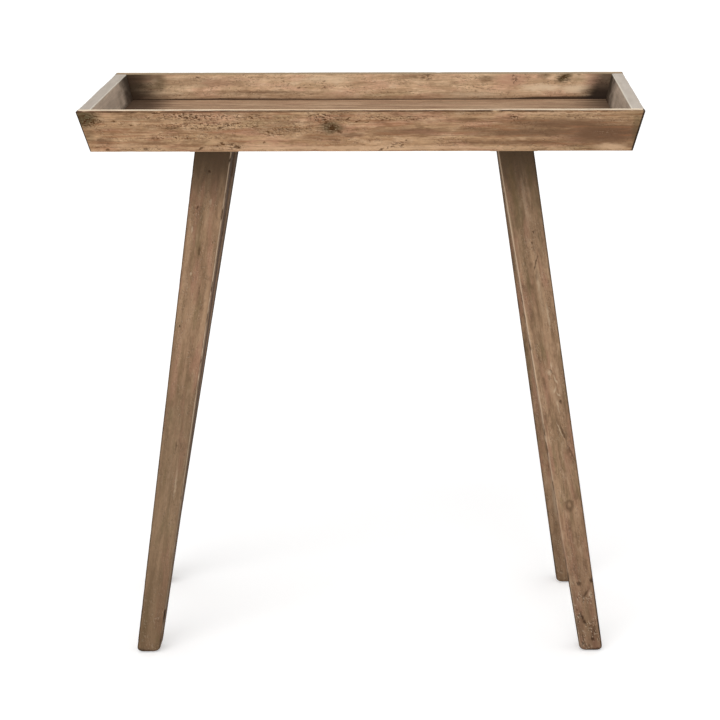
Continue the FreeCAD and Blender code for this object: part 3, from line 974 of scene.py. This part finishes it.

# %% [markdown]
# ### The legs
#
# The legs are duller and darker than the tray, and the grain runs straight up them. Near
# the tray they are darkest, under a painted shade of the tray, and their feet are pitted
# and cracked. Here and there an arris is rubbed pale, which also stands in for a painted
# highlight. The side faces carry painted shade, and the arrises and feet darken with dirt
# and painted shade. Marks on the front legs again have chosen places: millimetres above
# the foot, and to the right of the leg's middle.

# %% Marks of the legs
left_marks = {
    "dark": [
        (680, -1, 3, 2.5, 0.9), (630, -10, 4, 2, 0.8, 20), (571, -1, 10, 3, 0.6),
        (467, -14, 3, 2, 0.9), (300, 2, 12, 1.4, 0.5), (520, 6, 10, 1.4, 0.5),
    ],
    "pale": [(600, -14, 8, 1.5, 0.6), (540, -8, 4, 2, 0.5), (250, 8, 30, 2, 0.4), (640, 6, 6, 2, 0.4)],
    "mossy": [
        (400, -6, 70, 5, 0.5), (250, -8, 60, 4, 0.5), (60, -9, 60, 6, 0.6), (610, -2, 50, 6, 0.45),
    ],
    "ring_knots": [],
}
right_marks = {
    "dark": [
        (596, 7, 3, 1.6, 0.9), (582, 3, 3, 1.6, 0.9), (554, 4, 16, 1.2, 0.9, 22), (361, 9, 4, 2, 0.9),
        (318, 6, 20, 1.8, 0.7, -13), (285, 14, 18, 1.8, 0.65, -16), (404, 3, 6, 1.5, 0.7, -20),
        (100, -3, 5, 5, 0.9), (102, 15, 5, 4, 1), (50, -5, 5, 3, 1), (44, -4, 5, 3, 1),
        (17, 4, 4, 4, 1), (84, 4, 12, 2.4, 0.7, 40), (30, 8, 8, 2.4, 0.7),
    ],
    "pale": [
        (520, 4, 60, 4.5, 0.15), (525, 3, 14, 2.5, 0.5), (635, 2, 48, 4, 0.22),
        (403, 0, 5, 5, 0.6, 60), (392, 7, 9, 1.6, 0.7, -15), (322, 2.5, 18, 1.2, 0.6, -14),
        (355, 5, 12, 1.6, 0.6), (82, 10, 9, 3, 0.5), (480, 10, 26, 2, 0.5), (378, 4, 7, 1.6, 0.6, 30),
        (371, 8, 5, 1.4, 0.6, -40), (412, 4, 8, 1.3, 0.6, 10),
    ],
    "mossy": [
        (650, -11, 70, 8, 1), (665, 13, 50, 5, 0.7), (340, -4, 60, 5, 0.45), (500, 0, 80, 14, 0.3),
        (440, -3, 40, 8, 0.5), (545, -11, 60, 5, 0.5), (40, 0, 40, 9, 0.5),
    ],
    "ring_knots": [(214, 0)],
}
streaks = [(350, 2, 60, 4, 0.4), (150, -4, 50, 4, 0.4)]
behind_marks = {"dark": streaks, "pale": streaks, "mossy": streaks, "ring_knots": []}
print("front leg marks:", [sum(map(len, marks.values())) for marks in (left_marks, right_marks)])

# %% Finish of the legs
leg_tones = dict(
    light=(168, 136, 107), mid=(143, 114, 88), dark=(102, 78, 57), pale=(182, 152, 124),
    pink=(156, 117, 94), olive=(122, 106, 74), dirt=(62, 42, 27), worn=(222, 200, 172),
    edge=(214, 188, 160),
)


def leg_finish(name, timber, seed, marks, edge_wear_and_highlight, edge_reach, grey_from, green, scuff, coarse):
    sheet = new_finish(name)
    run, depth = timber.lay_out(sheet)
    along = run[0]
    knots = [(middle, (6, 4)) for middle in marks["ring_knots"]]
    kind = {"wander": 4, "streak": 0.7 * coarse, "blots": coarse, "pits": 0.35}
    height, flat = wood_figure(sheet, run, seed, leg_tones, knots, **kind)
    around = sheet.place(*run)
    wear = around.flecks((24, 5, 5), (seed, 4, 2), 3)
    # A painted shade of the tray over the top of the leg.
    high = (along + (wear - 0.5) * 60).smooth(mm * leg_top - 70, mm * leg_top - 10)
    sheet.coat(high * 0.8, (74, 54, 38))
    sheet.coat(along.smooth(grey_from, 700) * 0.45, (108, 92, 72))
    sheet.coat(along.smooth(430, 320) * green, (100, 86, 66))
    low = along.smooth(200, 0)
    sheet.coat(low * 0.5, sheet.mix(scuff, (102, 82, 56), (98, 71, 56)))

    on_front = depth["front"].smooth(*face_edge)
    ragged = shaken(flat, 2, (7, 3, 3))
    sheet.coat(spots(ragged, marks["mossy"], 1) * on_front * 0.7, (100, 82, 55))
    close = shaken(flat, 1.6, (4, 1.6, 1.6))
    holes = spots(close, marks["dark"]) * on_front
    for middle in marks["ring_knots"]:
        loose = shaken(flat, 4, (9, 6, 6))
        band = loose.oval(middle, (11, 8), 20, 0.5) * (1 - loose.oval(middle, (6, 4.2), 20, 0.8) * 0.8)
        holes = holes.most(band * on_front * 0.6)
    sheet.coat(holes * 0.85, leg_tones["dirt"])
    sheet.coat(spots(ragged, marks["pale"]) * on_front, (196, 172, 144))

    near_foot = along.smooth(140, 50) * 0.8
    scuffs = around.flecks((16, 7, 7), (seed, 6, 3), 2)
    scuffed = scuffs.smooth(0.46, 0.58) * near_foot * scuff
    sheet.coat(pitted(around, (seed + 0.28, 1.3, 0)) * scuffed * 0.6, leg_tones["worn"])
    pits = pitted(around, (seed, 1, 0)).most(crackle(around, (seed, 3, 0)))
    sheet.coat(pits * scuffed, leg_tones["dirt"])
    inner_side, outer_side = ("right", "left") if timber.origin.x < 0 else ("left", "right")
    # Painted shade on the leg's inner side face, and a fainter painted shade on its outer side face.
    painted_shade_inner_side = depth[inner_side].smooth(*face_edge) * depth["front"].smooth(9, 21)
    sheet.coat(painted_shade_inner_side * 0.78, (76, 55, 42))
    sheet.coat(depth[outer_side].smooth(*face_edge) * 0.2, (96, 74, 58))
    pairs = (("left", "front"), ("right", "front"), ("left", "back"), ("right", "back"))
    arrises = reduce(Field.most, [near_arris(depth[a], depth[b], 2.6) for a, b in pairs])
    # The arrises darken with dirt and with a painted shade along their rounding, more near the foot.
    grime_and_shade = 0.35 + wear.smooth(0.55, 0.4) * 0.35 + near_foot * (0.35 + 0.3 * scuff)
    sheet.coat(arrises * grime_and_shade, (54, 41, 32))
    # The very foot darkens with dirt and a painted shade where it meets the floor.
    sole = (along + (wear - 0.5) * 6).smooth(5, 1) * 0.7
    sheet.coat(sole, (58, 43, 31))
    # The inner front arris is worn pale, which also stands in for a painted highlight.
    edge = near_arris(depth[inner_side], depth["front"], edge_reach)
    if edge_reach > 3:
        edge = edge * (1 - near_arris(depth[inner_side], depth["front"], edge_reach * 0.45))
    rubbed_and_highlit = wear.smooth(0.36, 0.48) * (0.35 + along.smooth(150, 450) * 0.65)
    sheet.coat(edge * rubbed_and_highlit * edge_wear_and_highlight, leg_tones["edge"])
    return finish_wood(sheet, height - holes * 1.2)


# Marks, how strongly and how widely an arris is rubbed pale with a painted highlight, the
# height from which the leg turns grey, how green it is low down, how worn its foot is, and
# how bold its figure is.
looks = {
    "leg_front_left": (left_marks, 0.9, 1.9, 600, 0.35, 0.3, 0.7),
    "leg_front_right": (right_marks, 0.75, 3.8, 500, 0, 1, 1.15),
    "leg_back_left": (behind_marks, 0.15, 1.9, 470, 0.1, 0.4, 1),
    "leg_back_right": (behind_marks, 0.15, 1.9, 470, 0, 0.4, 1),
}
for seed, (node, piece) in enumerate(legs.items()):
    y_name, x_name = node.split("_")[1:]
    timber = leg_timber(sides[x_name], sides[y_name])
    finish = leg_finish("grey_stain_" + node, timber, 21 + seed, *looks[node])
    dress(piece, finish)

# %% [markdown]
# ### What holds it together
#
# Under the floor two bearers carry the legs. They are sawn and stained, and nobody cared
# much for them. The loose tongues in the corner joints are bare hardwood. Bolts, washers
# and screws are zinc plated: a pale metal whose crystals give it faint patches.

# %% Finish of bearers, tongues and fixings
def bearer_finish(side_name, seed):
    sheet = new_finish("sawn_bearer_" + side_name)
    middle = (sides[side_name] * leg_spread_x / 2, 0, floor_bottom)
    run = Timber(middle, (0, 1, 0), (1, 0, 0)).lay_out(sheet)[0]
    height, _ = wood_figure(sheet, run, seed, leg_tones, pits=0.3)
    saw = (run[0] * 2.1 + run[1] * 0.5).run("SINE")
    sheet.colour = sheet.colour * (0.85 + saw * 0.05)
    return finish_wood(sheet, height + saw * 0.15, dull=0.88)


def tongue_finish():
    sheet = new_finish("bare_hardwood")
    run = Timber((0, 0, 0), (0, 1, 0), (1, 0, 0)).lay_out(sheet)[0]
    tones = dict(
        light=(212, 184, 146), mid=(196, 164, 124), dark=(168, 132, 94), pale=(222, 198, 164),
        pink=(204, 166, 132), olive=(186, 162, 120), dirt=(120, 90, 62), worn=(226, 204, 172),
    )
    height, _ = wood_figure(sheet, run, 31, tones, pits=0)
    return finish_wood(sheet, height, relief=0.0001)


def zinc_finish():
    sheet = new_finish("zinc_plate")
    place = sheet.node("ShaderNodeTexCoord", output="Object") * mm
    crystal = sheet.node("ShaderNodeTexVoronoi", {"Vector": place, "Scale": 0.4}, "Color")
    grey = sheet.node("ShaderNodeSeparateXYZ", {"Vector": crystal}, "X")
    film = place.flecks((3, 3, 3), detail=3)
    colour = sheet.mix(grey * 0.6 + film * 0.3, (150, 152, 154), (204, 204, 200))
    inputs = {"Strength": 0.5, "Distance": 0.0001, "Height": film}
    bump = sheet.node("ShaderNodeBump", inputs, "Normal")
    sheet.shade(Base_Color=colour, Metallic=1, Roughness=0.3 + film * 0.25, Normal=bump)
    return sheet.owner


tongues = [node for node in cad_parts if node.startswith("corner_tongue")]
finishes = dict.fromkeys(tongues, tongue_finish())
finishes.update(dict.fromkeys(("leg_bolts", "leg_washers", "bearer_screws"), zinc_finish()))
finishes.update(left_bearer=bearer_finish("left", 32), right_bearer=bearer_finish("right", 33))
for node, material in finishes.items():
    dress(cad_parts[node], material)

# %% [markdown]
# ## The end
#
# The dressed table must stay inside the packed one.
